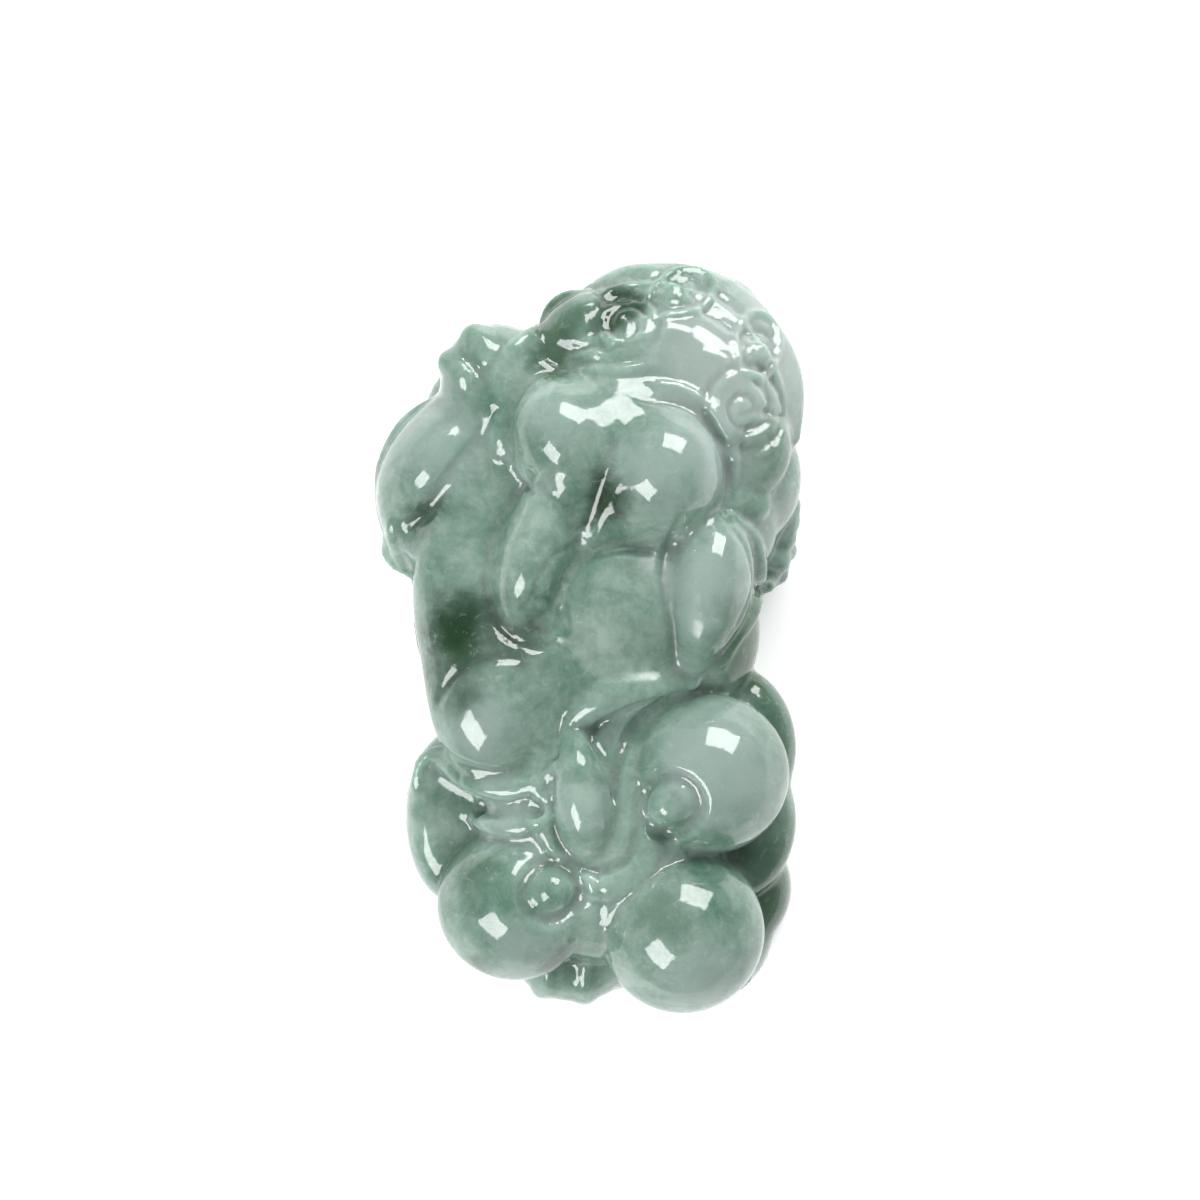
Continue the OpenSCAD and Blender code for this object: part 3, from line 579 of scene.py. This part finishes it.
carve("face", FACE_LINES)
for eye in ("left_eye", "right_eye"):
    stroke(middle(eye), FACE, ring(0, 0, 1.75, 0.28), 0.3, 0.1)
    stroke(middle(eye), FACE, ring(0, 0, 0.75, 0.16), -0.14, 0.06)

# %% Cheeks, flanks, legs and tail
flank_l, flank_r = middle("left_flank"), middle("right_flank")
tuft = middle("tail_tuft")

# What it is on, bearing it is seen from, place to the right and up, and size
CURLS = [(skull, 135, -1.5, -2.6, 2.1), (skull, 160, -2.4, -5, 1.7), (skull, -15, 1.2, -2.8, 2),
         (skull, -35, 2.2, -5.2, 1.6), (flank_l, 180, -2.4, -2.4, 1.9),
         (flank_l, 180, 2.4, -1.4, 1.5), (right_hock, -50, 0.6, -4.6, 1.7)]
for at, bearing, u, v, size in CURLS:
    stroke(at, side(bearing), ring(u, v, size, 0.38, 20, 400, 0.72), 0.2, 0.15)
    stroke(at, side(bearing), ring(u, v, size - 0.45, 0.2, 20, 380, 0.72), -0.2, 0.1)
print("curls:", len(CURLS))

SIDES = [
    # edge of each flank over the belly
    (flank_l, side(180), [(-6, -1.6, 0.25), (-3, -4.6, 0.4), (0.6, -5, 0.4), (4, -3.8, 0.25)],
     -0.35, 0.3),
    (flank_r, side(0), [(-4.4, -2.8, 0.25), (-1.4, -4, 0.4), (2, -3.6, 0.4), (4.4, -1.4, 0.25)],
     -0.35, 0.3),
    # locks of the tail tuft
    (tuft, side(-90), [(-2.2, 2.6, 0.3), (-2.7, 0, 0.8), (-1.9, -2.6, 0.4)], 0.3, 0.3),
    (tuft, side(-90), [(0.3, 2.8, 0.3), (0.2, 0, 1), (0.3, -2.8, 0.4)], 0.3, 0.3),
    (tuft, side(-90), [(2.6, 2.6, 0.3), (3, 0, 0.8), (2.3, -2.6, 0.4)], 0.3, 0.3),
]
carve("side", SIDES)

# Node, bearing that it points to, number of toes, gap between them
PAWS = [("left_fore_toes", 141, 3, 1.7), ("right_fore_toes", 0, 4, 1.7),
        ("left_hind_toes", 175, 3, 2), ("right_hind_toes", 15, 3, 2)]
for node, bearing, toes, gap in PAWS:
    for k in range(toes):
        u = (k - (toes - 1) / 2) * gap
        cleft = u + gap / 2
        stroke(middle(node), side(bearing), [(u, 0.7, 0.6), (u, -0.7, 0.85)], 0.22, 0.25)
        stroke(middle(node), side(bearing), [(cleft, 1, 0.2), (cleft, -1.2, 0.3)], -0.25, 0.15)
print("toes:", sum(toes for _, _, toes, _ in PAWS))

# %% [markdown]
# ## The ground face
# The underside is ground flat on a lap, so that the beast lies without rocking. Cutting the
# field with a level plane gives the same sharp, flat oval.

# %% Grinding the belly and keeping to the block
GROUND_SOFT = 0.25
for axis in range(3):
    reach = [1, 1, 1]
    reach[axis] = -1
    place = rows[axis].reshape(reach).astype(np.float32)
    for outside in (cad_box[0][axis] / MM - place, place - cad_box[1][axis] / MM):
        field[:] = -join(-field, -outside, GROUND_SOFT)
print("lowest distance in the block, mm:", round(float(field.min()), 2))

# %% [markdown]
# ## From field to skin
# The skin lies where the distance is zero. OpenVDB walks the cells and puts one vertex in
# each cell that the skin crosses, joined into quads. Then each vertex is slid along the slope
# of the field onto the exact surface, because a polished stone shows every wobble in its
# reflections.

# %% Meshing
grid = openvdb.FloatGrid(EMPTY)
grid.copyFromArray(np.ascontiguousarray(field))
grid.transform = openvdb.createLinearTransform(voxelSize=CELL)
spots, quads = grid.convertToQuads(isovalue=0.0)
spots = np.array(spots, float) + block_low


def slope(places):
    """Which way the field rises at each place, as a unit vector."""
    h = 0.5 * CELL
    steps = [distance_at(places + h * np.eye(3)[k]) - distance_at(places - h * np.eye(3)[k])
             for k in range(3)]
    g = np.stack(steps, -1)
    return g / np.maximum(np.linalg.norm(g, axis=-1, keepdims=True), 1e-9)


SLIDES, SLIDE = 2, 0.8   # passes, and the part of the distance covered in each
for _ in range(SLIDES):
    spots -= SLIDE * distance_at(spots)[:, None] * slope(spots)
spots[:, 2] = np.maximum(spots[:, 2], 0)

mesh = bpy.data.meshes.new("jade_beast")
mesh.from_pydata((spots * MM).tolist(), [], quads[:, ::-1].tolist())
mesh.validate()
mesh.update()
mesh.shade_smooth()
beast = put("jade_beast", mesh)
print("skin:", len(mesh.vertices), "vertices,", len(mesh.polygons), "quads")

# %% [markdown]
# ## The stone: polished jadeite
# Jadeite is a felt of tiny interlocking crystals. Light goes in, scatters for a millimetre or
# two and comes out softened, so thick parts look deep and thin edges look pale: that is
# subsurface scattering, and green travels furthest in it. The surface takes a glassy polish
# (index 1.66, against 1.5 for glass), so each ball carries a small crisp mirror image of the
# lamps. The colour is never even. Clouds about a centimetre wide drift from celadon to milky
# grey, finer mottling sits inside them, and chromium stains a few patches deep green.

# %% Colours, and one way to add a node
def linear(code):
    """An sRGB hex colour as linear red, green, blue and alpha."""
    parts = [int(code[i:i + 2], 16) / 255 for i in (1, 3, 5)]
    return [c / 12.92 if c <= 0.04045 else ((c + 0.055) / 1.055) ** 2.4 for c in parts] + [1.0]


def add(tree, kind, settings=None, links=None):
    """Adds a node. Settings name its sockets or properties, and links feed its sockets."""
    made = tree.nodes.new(kind)
    for name, value in (settings or {}).items():
        if isinstance(name, int) or name in made.inputs:
            made.inputs[name].default_value = value
        else:
            setattr(made, name, value)
    for name, source in (links or {}).items():
        tree.links.new(source, made.inputs[name])
    return made


def empty_tree(owner):
    """The node tree of a material or a world, with nothing in it."""
    owner.use_nodes = True
    owner.node_tree.nodes.clear()
    return owner.node_tree


def ramp(tree, value, low, high, to_low=0.0, to_high=1.0, curve="LINEAR"):
    """A value between two limits, spread over a new range."""
    limits = {"From Min": low, "From Max": high, "To Min": to_low, "To Max": to_high}
    return add(tree, "ShaderNodeMapRange", {**limits, "interpolation_type": curve},
               {"Value": value}).outputs[0]


CELADON = linear("#5a7f6d")
MILKY = linear("#a2b6ac")
PALE = linear("#a0b0aa")
FROST = linear("#a7b4ae")
IMPERIAL = linear("#113a19")
MOSS = linear("#3e5f45")
FLECK = linear("#c2cfc8")
print("celadon, linear:", [round(c, 3) for c in CELADON])

# %% Jadeite
jade = bpy.data.materials.new("polished_jadeite")
tree = empty_tree(jade)
here = add(tree, "ShaderNodeTexCoord").outputs["Object"]


def noise(width, detail, roughness, distortion=0.0):
    """A pattern whose parts are so many millimetres wide."""
    return add(tree, "ShaderNodeTexNoise", {"Scale": 1 / (width * MM), "Detail": detail,
                                            "Roughness": roughness, "Distortion": distortion},
               {"Vector": here}).outputs


def tinted(colour, tint, amount):
    """The colour so far with a tint laid over it."""
    return add(tree, "ShaderNodeMix", {"data_type": "RGBA", 7: tint},
               {0: amount, 6: colour}).outputs[2]


CLOUD_SHARE, MOTTLE_SHARE = 0.5, 0.5
cloudy = ramp(tree, noise(9, 5.0, 0.55, 0.6)["Fac"], 0.36, 0.64, curve="SMOOTHSTEP")
mottled = ramp(tree, noise(1.7, 7.0, 0.7, 0.4)["Fac"], 0.38, 0.66)
share = add(tree, "ShaderNodeMath", {"operation": "MULTIPLY", 1: CLOUD_SHARE}, {0: cloudy})
both = add(tree, "ShaderNodeMath", {"operation": "MULTIPLY_ADD", 1: MOTTLE_SHARE},
           {0: mottled, 2: share.outputs[0]})
colour = add(tree, "ShaderNodeMix", {"data_type": "RGBA", 6: CELADON, 7: MILKY},
             {0: both.outputs[0]}).outputs[2]

# %% [markdown]
# A stain is a soft ball of colour inside the stone, with an edge that the crystals break up.
# Each one is placed from the carved mass that it lies in: a distance, bent by noise, fades it
# out. Stains run down through the block, so height counts for less than a third of the
# distance. The pale clouds of the head, the haunch and the domes are made in the same way.
# A few of these patches also paint light and shade: the pale patches on the two thin fins and
# on the petal are painted light, and the deep green in the valley between the domes is partly
# the stone's green and partly painted shade.

# %% Stains, drifts of colour, and some painted light and shade
WANDER = 5 * MM               # how far noise may shift an edge
DEEP = np.array((1, 1, 0.3))  # how much each direction counts in a distance


def vector_math(operation, first, second, third=None):
    """A vector sum: two links may feed it, and the second value is a constant."""
    return add(tree, "ShaderNodeVectorMath", {"operation": operation, 1: tuple(second)},
               {0: first, 2: third} if third else {0: first}).outputs


centred = vector_math("SUBTRACT", noise(4, 5.0, 0.6)["Color"], (0.5, 0.5, 0.5))[0]
bent = vector_math("MULTIPLY_ADD", centred, (WANDER,) * 3, here)[0]
vein = vector_math("MULTIPLY", bent, DEEP)[0]

CORE = 0.25  # the share of a stain's radius that has its full strength
# Node, shift in mm, radius in mm, colour and strength
STAINS_AND_PAINTED_LIGHT = [
    ("head", (5, 1.8, 0), 9.5, FROST, 0.95),
    # Pale patch on the shoulder fin: painted paleness of the light that shines through the thin
    # fin.
    ("left_foreleg", (1.8, 5.7, 0), 4, FROST, 0.25),
    ("right_haunch", (0.4, 0.6, 0), 6.6, PALE, 0.8),
    ("right_mane_lobe", (-0.5, 0, 0), 5.4, PALE, 0.75),
    ("right_crest_dome", (-0.2, 0.8, 0), 4.6, PALE, 0.6),
    ("left_crest_dome", (-0.4, 0.8, 0), 4, PALE, 0.55),
    ("neck_band", (0.6, 0, 0), 4, PALE, 0.9),
    ("left_foreleg", (0.9, 0.5, 0), 4.8, PALE, 0.7),
    # Pale patch on the scallops of the right elbow: painted paleness of the light that shines
    # through the thin fin.
    ("right_foreleg", (2.8, -2.6, 0), 3, FROST, 0.5),
    ("right_ear", (0.6, 0.2, 0), 4, MOSS, 0.4),
    ("hip_bead", (0.2, 0.4, 0), 4, PALE, 0.7),
    ("right_hock", (1.4, -2.6, 0), 4.2, PALE, 0.65),
    ("left_hock", (0.4, -2.6, 0), 3.8, PALE, 0.65),
    ("leaf_sprig", (0, 0, 0), 3.6, PALE, 0.4),
    # Pale patch on the petal: painted light that brightens its shaded hollow beside the haunch.
    ("haunch_petal", (-1, 0, 0), 3.4, PALE, 0.4),
    ("tail_drop", (0, 0.5, 0), 3, PALE, 0.4),
    ("left_mane_lobe", (0.4, 1, 0), 4.4, PALE, 0.1),
    ("left_flank", (-0.6, -2.1, 0), 4.8, IMPERIAL, 1.0),
    ("left_flank", (2.9, -2.4, 0), 3.8, IMPERIAL, 0.9),
    ("left_flank", (-0.8, -5.4, 0), 4, IMPERIAL, 0.8),
    ("left_flank", (-2.6, 5.6, 0), 3, IMPERIAL, 0.75),
    # These two deep green patches lie in the valley between the domes: partly the stone's own
    # green and partly painted shade in that valley.
    ("right_crest_dome", (-4, -0.8, 0), 2.9, IMPERIAL, 0.95),
    ("right_crest_dome", (-5.4, -2.4, 0), 1.3, IMPERIAL, 0.7),
    ("left_ear_curl", (-0.6, 1.4, 0), 3, IMPERIAL, 0.85),
    ("left_ear_curl", (-4.6, -2.2, 0), 2.6, MOSS, 0.8),
    ("left_ear", (-1.2, 0.4, 0), 3.4, MOSS, 0.7),
    ("left_hock", (-3.2, 2.2, 0), 3.2, MOSS, 0.6),
    ("left_hock", (2.6, -3.4, 0), 2.4, IMPERIAL, 0.6),
    ("left_hock", (-2.2, -3.9, 0), 2, MOSS, 0.7),
    ("left_hock", (0.8, 0.8, 0), 3, MOSS, 0.2),
    ("right_hock", (-1, 1.6, 0), 4, MOSS, 0.45),
    ("right_hind_leg", (4.8, -4.5, 0), 5, MOSS, 0.65),
    ("right_hind_leg", (5, 3, 0), 4.4, MOSS, 0.6),
    ("right_flank", (3.4, -1, 0), 6, MOSS, 1.0),
    ("right_hind_paw", (5, 0.4, 0), 4.6, MOSS, 0.85),
    ("back_saddle", (2.6, -0.8, 0), 3, MOSS, 0.25),
    ("tail_tuft", (0, 0, 0), 4, MOSS, 0.25),
]
for node, shift, radius, tint, strength in STAINS_AND_PAINTED_LIGHT:
    away = vector_math("DISTANCE", vein, (middle(node) + shift) * DEEP * MM)["Value"]
    fade = ramp(tree, away, radius * MM, CORE * radius * MM, 0.0, strength, "SMOOTHERSTEP")
    colour = tinted(colour, tint, fade)
print("stains:", len(STAINS_AND_PAINTED_LIGHT))

# %% [markdown]
# White flecks and threads are crystals that turn their faces to the light. They are finest in
# the saddle, which the carver left matt: its grain is a fifth of a millimetre, and it is drawn
# a little coarser here so that it shows.

# %% Flecks, threads and the matt saddle
bright = ramp(tree, noise(0.9, 8.0, 0.75, 1.2)["Fac"], 0.56, 0.8, 0.0, 0.55)
colour = tinted(colour, FLECK, bright)

POLISH, MATT = 0.07, 0.5
WAVE_DEEP, GRAIN_DEEP = 0.03 * MM, 0.003 * MM
matt_at = vector_math("DISTANCE", bent, (saddle + (0.6, 0.4, 5)) * MM)["Value"]
roughness = ramp(tree, matt_at, 5.4 * MM, 3.6 * MM, POLISH, MATT)
soft_waves = add(tree, "ShaderNodeBump", {"Strength": 1.0, "Distance": WAVE_DEEP},
                 {"Height": noise(1.6, 2.0, 0.5)["Fac"]})
skin_bump = add(tree, "ShaderNodeBump", {"Strength": 1.0, "Distance": GRAIN_DEEP},
                {"Height": noise(0.25, 4.0, 0.6)["Fac"], "Normal": soft_waves.outputs[0]})
shader = add(tree, "ShaderNodeBsdfPrincipled",
             {"IOR": 1.66, "Subsurface Weight": 1.0, "Subsurface Radius": (0.62, 1.0, 0.8),
              "Subsurface Scale": 1.8 * MM},
             {"Base Color": colour, "Roughness": roughness, "Normal": skin_bump.outputs[0]})
add(tree, "ShaderNodeOutputMaterial", None, {"Surface": shader.outputs[0]})
beast.data.materials.append(jade)
print("nodes in the jadeite:", len(tree.nodes))

# %% [markdown]
# ## Floor and light
# The floor is a white light table: a sheet of opal acrylic that glows a little, which keeps
# shadows faint and puts a bright line along every rounded edge. Two soft boxes stand close by,
# one beyond the head and one at the tail's left, and each is mirrored once in every ball. The
# room overhead is kept darker than the horizon, so the colour of the stone isn't washed out.

# %% Light table
WIDE, BELOW, GLOW = 3.0, 0.02 * MM, 0.5
floor_data = bpy.data.meshes.new("light_table")
corners = [(x, y, -BELOW) for x, y in ((-WIDE, -WIDE), (WIDE, -WIDE), (WIDE, WIDE), (-WIDE, WIDE))]
floor_data.from_pydata(corners, [], [(0, 1, 2, 3)])
floor = put("light_table", floor_data)
opal = bpy.data.materials.new("opal_acrylic")
opal_tree = empty_tree(opal)
sheet = add(opal_tree, "ShaderNodeBsdfPrincipled",
            {"Base Color": linear("#e6e6e6"), "Roughness": 0.6, "IOR": 1.49,
             "Emission Color": linear("#ffffff"), "Emission Strength": GLOW})
add(opal_tree, "ShaderNodeOutputMaterial", None, {"Surface": sheet.outputs[0]})
floor.data.materials.append(opal)

# %% Soft boxes and room
DISTANCE = 0.36
target = np.array((0, 0, 10 * MM))


def soft_box(name, towards, width, height, watts):
    """A rectangular lamp in one direction from the stone, facing it."""
    lamp = bpy.data.lights.new(name, "AREA")
    lamp.shape = "RECTANGLE"
    lamp.size, lamp.size_y, lamp.energy = width, height, watts
    box = put(name, lamp)
    way = np.array(towards) / np.linalg.norm(towards)
    box.location = target + DISTANCE * way
    box.rotation_euler = Vector(way).to_track_quat("Z", "Y").to_euler()


soft_box("key_box", (0.31, 0.78, 0.55), width=0.26, height=0.19, watts=1.3)
soft_box("fill_box", (-0.5, -0.5, 0.72), width=0.22, height=0.17, watts=0.95)

HORIZON, OVERHEAD = 0.6, 0.2  # how bright the room is low down and high up
room = bpy.data.worlds.new("studio")
air = empty_tree(room)
sky = add(air, "ShaderNodeTexCoord").outputs["Generated"]
height = add(air, "ShaderNodeSeparateXYZ", None, {0: sky}).outputs["Z"]
walls = add(air, "ShaderNodeBackground", {"Color": linear("#f4f6f8")},
            {"Strength": ramp(air, height, 0.0, 0.8, HORIZON, OVERHEAD)})
add(air, "ShaderNodeOutputWorld", None, {"Surface": walls.outputs[0]})
scene.world = room
scene.view_settings.view_transform = "Standard"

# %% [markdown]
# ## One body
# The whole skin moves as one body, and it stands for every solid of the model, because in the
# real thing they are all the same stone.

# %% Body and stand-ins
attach(beast, "root")
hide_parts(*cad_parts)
